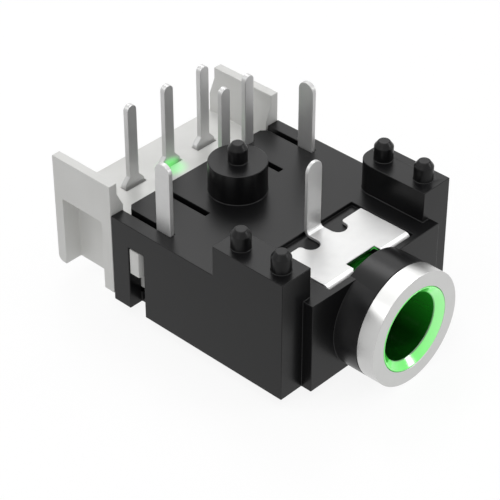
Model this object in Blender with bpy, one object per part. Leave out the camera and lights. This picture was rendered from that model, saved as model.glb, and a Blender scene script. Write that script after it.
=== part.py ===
# Right-angle 3.5 mm stereo jack socket for a circuit board, with an isolated changeover switch.
# It lies on its flat cover face with the terminals up. +X is its right side, -Y its mouth.
# The pieces are drawn from the middle of the body's front face at the flat face, and an empty
# places them so that the part's origin is at the bottom centre of its box.

import math

import bmesh
import bpy
from mathutils import Vector

MM = 0.001

# Clearances
FIT = 0.03 * MM
RUN = 0.05 * MM

# Housing
BODY_WIDTH = 11.8 * MM
BODY_LENGTH = 11.2 * MM
BODY_HEIGHT = 5.0 * MM
WALL = 0.76 * MM
FRONT_WALL = 0.9 * MM
FLOOR = 0.6 * MM
ROOF = 0.7 * MM
BLOCK_WIDTH = 9.0 * MM
BLOCK_LENGTH = 0.6 * MM
AXIS_HEIGHT = 2.44 * MM
PANEL_CHAMFER = 0.28 * MM

# Board side of the housing
STAND_HEIGHT = 1.65 * MM
STAND_WIDTH = 1.9 * MM
STAND_LENGTH = 4.37 * MM
STAND_RADIUS = 0.93 * MM
BOSS_DIAMETER = 2.96 * MM
PEG_DIAMETER = 0.98 * MM
PEG_HEIGHT = 1.02 * MM
PEG_TAPER_HEIGHT = 0.28 * MM
PEG_TOP_DIAMETER = 0.58 * MM
PEG_FROM_SIDE = 0.9 * MM
PEG_FROM_FRONT = 0.9 * MM
GRID = 2.5 * MM

# Latch windows in the side walls
WINDOW_FROM = 9.02 * MM
WINDOW_LENGTH = 1.05 * MM
WINDOW_HEIGHT = 3.7 * MM

# Mouth: ring and insulator
RING_DIAMETER = 6.0 * MM
RING_LENGTH = 1.02 * MM
RING_CHAMFER = 0.08 * MM
SPIGOT_LENGTH = 0.5 * MM
MOUTH_TO_BODY = 3.0 * MM
RING_WALL = 0.8 * MM
LINER_WALL = 0.42 * MM
PLUG_TIP_FROM_REAR = 0.2 * MM
MOUTH_CHAMFER = 0.38 * MM
MOUTH_CHAMFER_LENGTH = 0.34 * MM

# Sheet parts
SHEET = 0.18 * MM
BEND_RADIUS = 0.2 * MM
TERMINAL_TOP = 8.87 * MM
INNER_PIN_EXTRA = 0.11 * MM
BLADE_WIDTH = 0.94 * MM
SHOULDER = 0.1 * MM
SPRING_SHEET = 0.26 * MM
SPRING_HEIGHT = 2.0 * MM
SPRING_RETURN = 0.9 * MM
SPRING_BITE = 0.35 * MM
PIN_WIDTH = 0.6 * MM
PIN_SHEET = 0.3 * MM

# Sleeve plate
PLATE_WIDTH = 5.8 * MM
PLATE_LENGTH = 2.95 * MM
PLATE_SIDE_GAP = 0.07 * MM
RECESS_LENGTH = 3.61 * MM
SLEEVE_BLADE_AT = 3.4 * MM
NOTCH_WIDTH = 2.0 * MM
NOTCH_LENGTH = 0.48 * MM
TAB_WIDTH = 1.0 * MM
RELIEF_REACH = 1.44 * MM
RELIEF_DEPTH = 0.68 * MM
HOOK_RADIUS = 0.18 * MM
FINGER_BASE = 1.9 * MM
FINGER_HEIGHT = 1.08 * MM
FINGER_SHEET = 0.16 * MM
FINGER_STRAIGHT = 0.4 * MM
FINGER_CONTACT_AT = 2.6 * MM
FINGER_TAIL = 0.3 * MM

# Narrow roof slots
NARROW_SLOT_AT = 2.59 * MM
NARROW_SLOT_WIDTH = 0.33 * MM
NARROW_SLOT_FROM = 7.93 * MM

# Contacts of the springs
TIP_CONTACT_AT = 9.2 * MM
RING_CONTACT_AT = 6.0 * MM
TIP_SPRING_FROM = 3.8 * MM
RING_SPRING_FROM = 2.3 * MM
TIP_SWITCH_PIN_AT = 1.62 * MM
RING_PIN_TO_WALL = 1.83 * MM
SWITCH_STRIP_HEIGHT = 0.45 * MM
TIP_TAIL_RISE = 0.24 * MM
TIP_TAIL_LENGTH = 1.3 * MM
RING_TAIL_RISE = 1.37 * MM
RING_TAIL_LENGTH = 1.6 * MM
TIP_TONGUE_LENGTH = 0.9 * MM
TIP_TONGUE_HEIGHT = 1.05 * MM
RING_STRIP_FROM_PLUG = 0.55 * MM
RING_STRIP_FROM = 7.35 * MM

# Switch holder
HOLDER_LENGTH = 4.06 * MM
HOLDER_BOTTOM = 0.33 * MM
HOLDER_PLATE_TOP = 4.25 * MM
HOLDER_WALL_TOP = 0.5 * MM
HOLDER_WALL_FOOT = 0.87 * MM
HOLDER_STEP_TOP = 6.0 * MM
HOLDER_STEP_FOOT = 5.25 * MM
HOLDER_SKIN = 0.5 * MM
HOLDER_CHAMFER = 0.35 * MM
POCKET_DEPTH = 1.0 * MM
POCKET_FROM = 0.67 * MM
POCKET_LENGTH = 2.81 * MM
POCKET_TOP = 4.3 * MM
POCKET_SLOPE = 0.45 * MM
LATCH_THICKNESS = 0.65 * MM
LATCH_FOOT = 0.9 * MM
BARB_FOOT = 2.14 * MM
BARB_FLAT = 0.6 * MM

# Changeover switch
REAR_PINS_FROM_BODY = 2.05 * MM
REAR_PIN_FROM_SIDE = 3.4 * MM
PIN_FOOT_WIDTH = 1.3 * MM
PIN_FOOT_EDGE = 0.17 * MM
PIN_FLARE_HEIGHT = 0.38 * MM
LEAF_SHEET = 0.15 * MM
LEAF_WIDTH = 1.0 * MM
LEAF_GAP = 0.02 * MM
LEAF_LOW = 1.1 * MM
LEAF_TOP = 3.7 * MM
COMMON_TAB_LOW = 3.1 * MM
ARM_LOW = 1.0 * MM
ARM_HEIGHT = 0.7 * MM
OPEN_GAP = 0.7 * MM
ACTUATOR_TRAVEL = 0.3 * MM
ACTUATOR_HEAD_DIAMETER = 2.4 * MM
ACTUATOR_HEAD_LENGTH = 0.55 * MM
ACTUATOR_STEM = 1.1 * MM
ACTUATOR_COLLAR = 0.3 * MM
COLLAR_LENGTH = 0.3 * MM
HEAD_CHAMFER = 0.2 * MM
BRIDGE_LENGTH = 0.6 * MM
BRIDGE_WIDTH = 3.2 * MM

# Values worked out from the driving sizes
HALF_WIDTH = BODY_WIDTH / 2
INSIDE = HALF_WIDTH - WALL
CEILING = BODY_HEIGHT - ROOF
BOARD_PLANE = BODY_HEIGHT + STAND_HEIGHT
LINER_RADIUS = RING_DIAMETER / 2 - RING_WALL
BORE_DIAMETER = 2 * (LINER_RADIUS - LINER_WALL)
PLUG_DIAMETER = BORE_DIAMETER - 2 * FIT
TIP_TONGUE_AT = -(PLUG_DIAMETER / 2 - SPRING_BITE - RUN)
RING_STRIP_AT = PLUG_DIAMETER / 2 + RING_STRIP_FROM_PLUG
BARREL_DIAMETER = RING_DIAMETER
SPIGOT_RADIUS = (LINER_RADIUS + BARREL_DIAMETER / 2) / 2
MOUTH = -MOUTH_TO_BODY
RING_BACK = MOUTH + RING_LENGTH
HOLDER_FRONT = BODY_LENGTH + FIT
HOLDER_BACK = HOLDER_FRONT + HOLDER_LENGTH
PEG_ROW = HALF_WIDTH - PEG_FROM_SIDE
BOSS_AT = PEG_FROM_FRONT + 3 * GRID
BLADE_AT = BOSS_AT
SWITCH_PINS_AT = BOSS_AT + GRID
RING_SWITCH_PIN_AT = INSIDE - RING_PIN_TO_WALL
REAR_PINS_AT = BODY_LENGTH + REAR_PINS_FROM_BODY
REAR_PIN_PITCH = HALF_WIDTH - REAR_PIN_FROM_SIDE
PLATE_TOP = BODY_HEIGHT
INNER_PIN_TOP = TERMINAL_TOP + INNER_PIN_EXTRA
YOKE_FRONT = -(SHEET + RUN)
FINGER_X = PLATE_WIDTH / 2 - SHEET / 2
PLUG_END = BODY_LENGTH - PLUG_TIP_FROM_REAR
BRIDGE_FROM = PLUG_END + ACTUATOR_HEAD_LENGTH + RUN
LEAF_AT = REAR_PINS_AT + PIN_SHEET / 2 + LEAF_GAP + LEAF_SHEET / 2

OVER = 0.5 * MM
ROUND = 64
SMALL_ROUND = 24


def clear_scene():
    for obj in list(bpy.data.objects):
        bpy.data.objects.remove(obj, do_unlink=True)


def make_root():
    # The empty carries every piece and puts the origin at the bottom centre of the box
    root = bpy.data.objects.new("socket", None)
    root.location = (0, -(MOUTH + HOLDER_BACK) / 2, RING_DIAMETER / 2 - AXIS_HEIGHT)
    bpy.context.collection.objects.link(root)
    return root


def make_material(name, color, roughness, metallic=0.0):
    material = bpy.data.materials.new(name)
    material.use_nodes = True
    shader = material.node_tree.nodes["Principled BSDF"]
    shader.inputs["Base Color"].default_value = (*color, 1)
    shader.inputs["Roughness"].default_value = roughness
    shader.inputs["Metallic"].default_value = metallic
    material.diffuse_color = (*color, 1)
    return material


def to_object(name, bm, root):
    bmesh.ops.recalc_face_normals(bm, faces=bm.faces)
    if bm.calc_volume(signed=True) < 0:
        bmesh.ops.reverse_faces(bm, faces=bm.faces)
    mesh = bpy.data.meshes.new(name)
    bm.to_mesh(mesh)
    bm.free()
    obj = bpy.data.objects.new(name, mesh)
    obj.parent = root
    bpy.context.collection.objects.link(obj)
    return obj


def placed(axis, first, second, along):
    # first and second are the two other axes in X, Y, Z order
    return {
        "X": (along, first, second),
        "Y": (first, along, second),
        "Z": (first, second, along),
    }[axis]


def prism(name, root, outline, axis, low, high):
    # A closed outline extruded along an axis
    bm = bmesh.new()
    corners = [bm.verts.new(placed(axis, a, b, low)) for a, b in outline]
    face = bm.faces.new(corners)
    grown = bmesh.ops.extrude_face_region(bm, geom=[face])["geom"]
    moved = [item for item in grown if isinstance(item, bmesh.types.BMVert)]
    bmesh.ops.translate(bm, verts=moved, vec=Vector(placed(axis, 0, 0, high - low)))
    return to_object(name, bm, root)


def block(name, root, x, y, z):
    outline = [(x[0], y[0]), (x[1], y[0]), (x[1], y[1]), (x[0], y[1])]
    return prism(name, root, outline, "Z", z[0], z[1])


def turned(name, root, profile, axis, centre, steps, closed=False):
    # profile holds (radius, place along the axis), and centre the two other coordinates.
    # An open profile gets a flat cap at each end
    bm = bmesh.new()
    rings = []
    for radius, along in profile:
        circle = arc(centre, radius, 0, 360, steps)[:-1]
        rings.append([bm.verts.new(placed(axis, a, b, along)) for a, b in circle])
    pairs = list(zip(rings, rings[1:]))
    if closed:
        pairs.append((rings[-1], rings[0]))
    else:
        bm.faces.new(rings[0])
        bm.faces.new(rings[-1])
    for lower, upper in pairs:
        for index in range(steps):
            after = (index + 1) % steps
            bm.faces.new((lower[index], lower[after], upper[after], upper[index]))
    return to_object(name, bm, root)


def cylinder(name, root, diameter, low, high, axis, centre, steps=ROUND):
    radius = diameter / 2
    return turned(name, root, [(radius, low), (radius, high)], axis, centre, steps)


def combine(body, other, operation):
    modifier = body.modifiers.new(f"{operation.lower()}_{other.name}", "BOOLEAN")
    modifier.operation = operation
    modifier.solver = "EXACT"
    modifier.object = other
    other.hide_render = True
    other.display_type = "WIRE"


def cut(body, *cutters):
    for cutter in cutters:
        combine(body, cutter, "DIFFERENCE")


def add(body, *others):
    for other in others:
        combine(body, other, "UNION")


def smooth(obj, degrees=35):
    obj.data.shade_smooth()
    obj.data.set_sharp_from_angle(angle=math.radians(degrees))


def arc(centre, radius, start, end, steps):
    # Points from the start angle to the end angle, in degrees
    points = []
    for index in range(steps + 1):
        angle = math.radians(start + (end - start) * index / steps)
        points.append((centre[0] + radius * math.cos(angle), centre[1] + radius * math.sin(angle)))
    return points


def mirrored(outline):
    return [(-a, b) for a, b in reversed(outline)]


def rounded(path, radius, steps=5):
    # The path with each inner corner replaced by an arc
    result = [Vector(path[0])]
    for before, corner, after in zip(path, path[1:], path[2:]):
        before, corner, after = Vector(before), Vector(corner), Vector(after)
        into = (before - corner).normalized()
        out = (after - corner).normalized()
        half = into.angle(out) / 2
        reach = radius / math.tan(half)
        reach = min(reach, 0.49 * (before - corner).length, 0.49 * (after - corner).length)
        start = corner + into * reach
        end = corner + out * reach
        centre = corner + (into + out).normalized() * (reach / math.cos(half))
        first = start - centre
        turn = first.angle_signed(end - centre)
        for index in range(steps + 1):
            angle = -turn * index / steps
            turned_first = Vector(
                (
                    first.x * math.cos(angle) - first.y * math.sin(angle),
                    first.x * math.sin(angle) + first.y * math.cos(angle),
                )
            )
            result.append(centre + turned_first)
    result.append(Vector(path[-1]))
    return result


def ribbon(path, thickness):
    # The closed outline of a strip of even thickness along a path
    left, right = [], []
    for index, point in enumerate(path):
        before = path[max(index - 1, 0)]
        after = path[min(index + 1, len(path) - 1)]
        into = (point - before).normalized() if index else (after - point).normalized()
        out = (after - point).normalized() if index < len(path) - 1 else into
        across = Vector((-(into + out).y, (into + out).x)).normalized()
        side = Vector((-out.y, out.x))
        reach = thickness / 2 / max(across.dot(side), 0.5)
        left.append(tuple(point + across * reach))
        right.append(tuple(point - across * reach))
    return left + right[::-1]


def strip(name, root, path, thickness, axis, low, high):
    return prism(name, root, ribbon(path, thickness), axis, low, high)


def terminal_edge(centre, width, base, top):
    # The edge of a blade or pin with a full round end, from its left side over the end to its right
    half = width / 2
    end = arc((centre, top - half), half, 180, 0, 12)
    return [(centre - half, base)] + end + [(centre + half, base)]


def footed_pin_edge(centre, base):
    # The same for a rear pin, which widens to a foot on the holder's plate
    foot = PIN_FOOT_WIDTH / 2
    foot_top = HOLDER_PLATE_TOP + PIN_FOOT_EDGE
    pin = terminal_edge(centre, PIN_WIDTH, foot_top + PIN_FLARE_HEIGHT, TERMINAL_TOP)
    left = [(centre - foot, base), (centre - foot, foot_top)]
    right = [(centre + foot, foot_top), (centre + foot, base)]
    return left + pin + right


def around(edge, low, high, top):
    # The outline of all that lies outside an edge and above its two ends
    return [(low, edge[0][1])] + edge + [(high, edge[-1][1]), (high, top), (low, top)]


def make_housing(root):
    housing = block(
        "housing", root, (-HALF_WIDTH, HALF_WIDTH), (0, BODY_LENGTH), (0, BODY_HEIGHT)
    )
    front_block = block(
        "front_block", root, (-BLOCK_WIDTH / 2, BLOCK_WIDTH / 2), (-BLOCK_LENGTH, OVER), (0, BODY_HEIGHT)
    )
    barrel = turned(
        "barrel",
        root,
        [
            (SPIGOT_RADIUS, RING_BACK - SPIGOT_LENGTH + FIT),
            (SPIGOT_RADIUS, RING_BACK),
            (BARREL_DIAMETER / 2, RING_BACK),
            (BARREL_DIAMETER / 2, -FIT - SHEET / 2),
        ],
        "Y",
        (0, AXIS_HEIGHT),
        ROUND,
    )
    add(housing, front_block, barrel)

    for side, word in ((-1, "left"), (1, "right")):
        outer = side * HALF_WIDTH
        inner = side * (HALF_WIDTH - STAND_WIDTH)
        corner = arc(
            (side * (HALF_WIDTH - STAND_WIDTH + STAND_RADIUS), STAND_LENGTH - STAND_RADIUS),
            STAND_RADIUS,
            90,
            180 if side > 0 else 0,
            10,
        )
        outline = [(outer, 0), (outer, STAND_LENGTH)] + corner + [(inner, 0)]
        add(housing, prism(f"stand_{word}", root, outline, "Z", BODY_HEIGHT - ROOF / 2, BOARD_PLANE))
        for row, at in ((1, PEG_FROM_FRONT), (2, PEG_FROM_FRONT + GRID)):
            add(housing, make_peg(f"peg_{word}_{row}", root, side * PEG_ROW, at))

    boss = cylinder(
        "boss", root, BOSS_DIAMETER, BODY_HEIGHT - ROOF / 2, BOARD_PLANE, "Z", (0, BOSS_AT)
    )
    add(housing, boss, make_peg("peg_boss", root, 0, BOSS_AT))

    cavity = block(
        "cavity_cut", root, (-INSIDE, INSIDE), (FRONT_WALL, BODY_LENGTH + OVER), (FLOOR, CEILING)
    )
    liner_bore = cylinder(
        "liner_bore_cut",
        root,
        2 * (LINER_RADIUS + FIT),
        MOUTH,
        FRONT_WALL + FIT,
        "Y",
        (0, AXIS_HEIGHT),
    )
    cut(housing, cavity, liner_bore)
    cut_plate_seat(housing, root)
    cut_roof(housing, root)
    for side, word in ((-1, "left"), (1, "right")):
        window = block(
            f"window_{word}_cut",
            root,
            sorted((side * (INSIDE - FIT), side * (HALF_WIDTH + OVER))),
            (WINDOW_FROM, WINDOW_FROM + WINDOW_LENGTH),
            (-OVER, WINDOW_HEIGHT),
        )
        cut(housing, window)
    return housing


def make_peg(name, root, x, y):
    top = BOARD_PLANE + PEG_HEIGHT
    profile = [
        (PEG_DIAMETER / 2, BOARD_PLANE - OVER),
        (PEG_DIAMETER / 2, top - PEG_TAPER_HEIGHT),
        (PEG_TOP_DIAMETER / 2, top),
    ]
    return turned(name, root, profile, "Z", (x, y), SMALL_ROUND)


def cut_plate_seat(housing, root):
    # The sleeve plate's recess, the slot for its yoke and the ways for its two fingers
    seat = PLATE_WIDTH / 2 + PLATE_SIDE_GAP
    recess = block(
        "plate_recess_cut",
        root,
        (-seat, seat),
        (YOKE_FRONT - FIT, RECESS_LENGTH),
        (PLATE_TOP - SHEET - FIT, PLATE_TOP + OVER),
    )
    yoke_slot = block(
        "yoke_slot_cut",
        root,
        (-seat, seat),
        (YOKE_FRONT - FIT, YOKE_FRONT + SHEET + FIT),
        (FINGER_BASE - FIT, PLATE_TOP + OVER),
    )
    sight = block(
        "liner_sight_cut",
        root,
        (-NOTCH_WIDTH / 2 - FIT, NOTCH_WIDTH / 2 + FIT),
        (YOKE_FRONT - FIT, FRONT_WALL - OVER / 2),
        (AXIS_HEIGHT + BORE_DIAMETER / 2, PLATE_TOP + OVER),
    )
    cut(housing, recess, yoke_slot, sight)
    for side, word in ((-1, "left"), (1, "right")):
        way = block(
            f"finger_way_{word}_cut",
            root,
            sorted((side * (FINGER_X - SHEET / 2 - RUN), side * (seat - FIT))),
            (YOKE_FRONT + SHEET / 2, FRONT_WALL + OVER / 2),
            (FINGER_BASE - 2 * FIT, FINGER_BASE + FINGER_HEIGHT + RUN),
        )
        cut(housing, way)


def cut_roof(housing, root):
    # The ways for the terminals, all open at the rear, where the metal parts go in
    low, high = CEILING - OVER / 2, BODY_HEIGHT + OVER
    rear = BODY_LENGTH + OVER
    for side, word in ((-1, "left"), (1, "right")):
        inner = INSIDE - 2 * FIT - SPRING_SHEET
        slot = [
            (side * INSIDE, BLADE_AT - BLADE_WIDTH / 2 - FIT),
            (side * INSIDE, rear),
            (side * (inner - PANEL_CHAMFER), rear),
            (side * (inner - PANEL_CHAMFER), BODY_LENGTH),
            (side * inner, BODY_LENGTH - PANEL_CHAMFER),
            (side * inner, BLADE_AT - BLADE_WIDTH / 2 - FIT),
        ]
        narrow = block(
            f"narrow_slot_{word}_cut",
            root,
            sorted(
                (
                    side * (NARROW_SLOT_AT - NARROW_SLOT_WIDTH / 2),
                    side * (NARROW_SLOT_AT + NARROW_SLOT_WIDTH / 2),
                )
            ),
            (NARROW_SLOT_FROM, rear),
            (low, high),
        )
        cut(housing, prism(f"blade_slot_{word}_cut", root, slot, "Z", low, high), narrow)
    for at, word in ((TIP_SWITCH_PIN_AT, "tip"), (RING_SWITCH_PIN_AT, "ring")):
        half = PIN_WIDTH / 2 + FIT
        pin_way = block(
            f"{word}_pin_way_cut",
            root,
            (at - half, at + half),
            (SWITCH_PINS_AT - PIN_SHEET / 2 - FIT, rear),
            (low, high),
        )
        cut(housing, pin_way)


def make_ring(root):
    inner = LINER_RADIUS + FIT
    counterbore = SPIGOT_RADIUS + FIT
    step = RING_BACK - SPIGOT_LENGTH
    outer = RING_DIAMETER / 2
    profile = [
        (inner, MOUTH),
        (outer - RING_CHAMFER, MOUTH),
        (outer, MOUTH + RING_CHAMFER),
        (outer, RING_BACK - FIT),
        (counterbore, RING_BACK - FIT),
        (counterbore, step),
        (inner, step),
    ]
    return turned("front_ring", root, profile, "Y", (0, AXIS_HEIGHT), ROUND, closed=True)


def make_insulator(root):
    bore = BORE_DIAMETER / 2
    profile = [
        (bore + MOUTH_CHAMFER, MOUTH),
        (LINER_RADIUS, MOUTH),
        (LINER_RADIUS, FRONT_WALL),
        (bore, FRONT_WALL),
        (bore, MOUTH + MOUTH_CHAMFER_LENGTH),
    ]
    return turned("bore_insulator", root, profile, "Y", (0, AXIS_HEIGHT), ROUND, closed=True)


def make_sleeve_plate(root):
    half = PLATE_WIDTH / 2
    middle = PLATE_TOP - SHEET / 2
    blade_middle = SLEEVE_BLADE_AT + SHEET / 2
    fold = rounded(
        [
            (YOKE_FRONT + SHEET / 2, FINGER_BASE),
            (YOKE_FRONT + SHEET / 2, middle),
            (blade_middle, middle),
            (blade_middle, TERMINAL_TOP + OVER),
        ],
        BEND_RADIUS + SHEET / 2,
    )
    plate = strip("sleeve_plate", root, fold, SHEET, "X", -half, half)

    for side, word in ((-1, "left"), (1, "right")):
        relief = RELIEF_REACH - TAB_WIDTH / 2
        bottom = (TAB_WIDTH / 2 + relief / 2, PLATE_LENGTH - RELIEF_DEPTH + relief / 2)
        hook = TAB_WIDTH / 2 + relief + HOOK_RADIUS
        edge = [(TAB_WIDTH / 2, RECESS_LENGTH + OVER)]
        edge += arc(bottom, relief / 2, 180, 360, 12)
        edge += arc((hook, PLATE_LENGTH - HOOK_RADIUS), HOOK_RADIUS, 180, 90, 6)
        edge += [(half + OVER, PLATE_LENGTH), (half + OVER, RECESS_LENGTH + OVER)]
        outline = [(side * x, y) for x, y in edge]
        cut(
            plate,
            prism(
                f"relief_{word}_cut",
                root,
                outline,
                "Z",
                PLATE_TOP - 2 * SHEET,
                TERMINAL_TOP + 2 * OVER,
            ),
        )

    top = terminal_edge(0, TAB_WIDTH, BOARD_PLANE, TERMINAL_TOP)
    blade_cut = prism(
        "sleeve_blade_cut",
        root,
        around(top, -half, half, TERMINAL_TOP + 2 * OVER),
        "Y",
        PLATE_LENGTH,
        RECESS_LENGTH + OVER,
    )
    notch = block(
        "plate_notch_cut",
        root,
        (-NOTCH_WIDTH / 2, NOTCH_WIDTH / 2),
        (YOKE_FRONT - OVER, NOTCH_LENGTH),
        (FINGER_BASE - OVER, PLATE_TOP + OVER),
    )
    cut(plate, blade_cut, notch)

    # The fingers are a little thinner than the yoke that they are folded from
    for side, word in ((-1, "left"), (1, "right")):
        reach = PLUG_DIAMETER / 2 - SPRING_BITE + SHEET / 2
        path = rounded(
            [
                (side * (FINGER_X - 2 * SHEET), YOKE_FRONT + SHEET / 2),
                (side * FINGER_X, YOKE_FRONT + SHEET / 2),
                (side * FINGER_X, FRONT_WALL + FINGER_STRAIGHT),
                (side * reach, FINGER_CONTACT_AT),
                (side * (reach + FINGER_TAIL), FINGER_CONTACT_AT + 2 * FINGER_TAIL),
            ],
            BEND_RADIUS,
        )
        finger = strip(
            f"sleeve_finger_{word}",
            root,
            path,
            FINGER_SHEET,
            "Z",
            FINGER_BASE + FIT,
            FINGER_BASE + FINGER_HEIGHT,
        )
        add(plate, finger)

    liner_way = cylinder(
        "liner_way_cut",
        root,
        2 * (LINER_RADIUS + 2 * FIT),
        YOKE_FRONT - OVER,
        FRONT_WALL + FIT,
        "Y",
        (0, AXIS_HEIGHT),
    )
    cut(plate, liner_way)
    return plate


def make_spring(name, root, side, front, contact_at, tail):
    # One folded strip: terminal blade, base along the side wall, bend at the front and leaf
    wall = side * (INSIDE - FIT - SPRING_SHEET / 2)
    contact = side * (PLUG_DIAMETER / 2 - SPRING_BITE + SPRING_SHEET / 2)
    path = rounded(
        [
            (wall, BLADE_AT + BLADE_WIDTH / 2 + SHOULDER),
            (wall, front),
            (wall - side * SPRING_RETURN, front),
            (contact, contact_at),
            (contact + side * tail[0], contact_at + tail[1]),
        ],
        SPRING_RETURN / 2,
    )
    low = AXIS_HEIGHT - SPRING_HEIGHT / 2
    base_top = AXIS_HEIGHT + SPRING_HEIGHT / 2
    spring = strip(name, root, path, SPRING_SHEET, "Z", low, TERMINAL_TOP + OVER)
    edge = terminal_edge(BLADE_AT, BLADE_WIDTH, base_top, TERMINAL_TOP)
    blade_cut = prism(
        f"{name}_blade_cut",
        root,
        around(edge, front - 2 * OVER, BODY_LENGTH, TERMINAL_TOP + 2 * OVER),
        "X",
        *sorted((side * (INSIDE + OVER), side * (INSIDE - 2 * SPRING_SHEET))),
    )
    leaf_cut = block(
        f"{name}_leaf_cut",
        root,
        sorted((side * (INSIDE - 1.5 * SPRING_SHEET), 0)),
        (front - 2 * OVER, BODY_LENGTH + OVER),
        (base_top, TERMINAL_TOP + 2 * OVER),
    )
    cut(spring, blade_cut, leaf_cut)
    return spring


def make_tip_switch_contact(root):
    # A strip over the plunger's head with a tongue that the tip spring rests on
    half = PIN_WIDTH / 2
    tongue = TIP_TONGUE_AT
    path = rounded(
        [
            (TIP_SWITCH_PIN_AT + half + SHOULDER, SWITCH_PINS_AT),
            (tongue, SWITCH_PINS_AT),
            (tongue, SWITCH_PINS_AT - TIP_TONGUE_LENGTH),
        ],
        BEND_RADIUS,
    )
    low = CEILING - RUN - TIP_TONGUE_HEIGHT
    contact = strip(
        "tip_switch_contact", root, path, PIN_SHEET, "Z", low, INNER_PIN_TOP + OVER
    )
    top = CEILING - RUN
    edge = terminal_edge(TIP_SWITCH_PIN_AT, PIN_WIDTH, top, INNER_PIN_TOP)
    rear = SWITCH_PINS_AT + OVER
    pin_cut = prism(
        "tip_switch_pin_cut",
        root,
        around(edge, tongue - 2 * OVER, INSIDE, INNER_PIN_TOP + 2 * OVER),
        "Y",
        SWITCH_PINS_AT - TIP_TONGUE_LENGTH - OVER,
        rear,
    )
    head_cut = block(
        "tip_switch_strip_cut",
        root,
        (tongue + PIN_SHEET, INSIDE),
        (SWITCH_PINS_AT - PIN_SHEET, rear),
        (low - OVER, top - SWITCH_STRIP_HEIGHT),
    )
    cut(contact, pin_cut, head_cut)
    return contact


def make_ring_switch_contact(root):
    # A strip beside the plug that the end of the ring spring rests on
    half = PIN_WIDTH / 2
    path = rounded(
        [
            (RING_SWITCH_PIN_AT + half + SHOULDER, SWITCH_PINS_AT),
            (RING_STRIP_AT, SWITCH_PINS_AT),
            (RING_STRIP_AT, RING_STRIP_FROM),
        ],
        BEND_RADIUS + PIN_SHEET / 2,
    )
    low = AXIS_HEIGHT - SPRING_HEIGHT / 2
    top = AXIS_HEIGHT + SPRING_HEIGHT / 2
    contact = strip(
        "ring_switch_contact", root, path, PIN_SHEET, "Z", low, INNER_PIN_TOP + OVER
    )
    edge = terminal_edge(RING_SWITCH_PIN_AT, PIN_WIDTH, top, INNER_PIN_TOP)
    pin_cut = prism(
        "ring_switch_pin_cut",
        root,
        around(edge, 0, INSIDE, INNER_PIN_TOP + 2 * OVER),
        "Y",
        RING_STRIP_FROM - OVER,
        SWITCH_PINS_AT + OVER,
    )
    strip_cut = block(
        "ring_switch_strip_cut",
        root,
        (0, INSIDE),
        (RING_STRIP_FROM - OVER, SWITCH_PINS_AT - PIN_SHEET / 2),
        (top, INNER_PIN_TOP + 2 * OVER),
    )
    cut(contact, pin_cut, strip_cut)
    return contact


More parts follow.
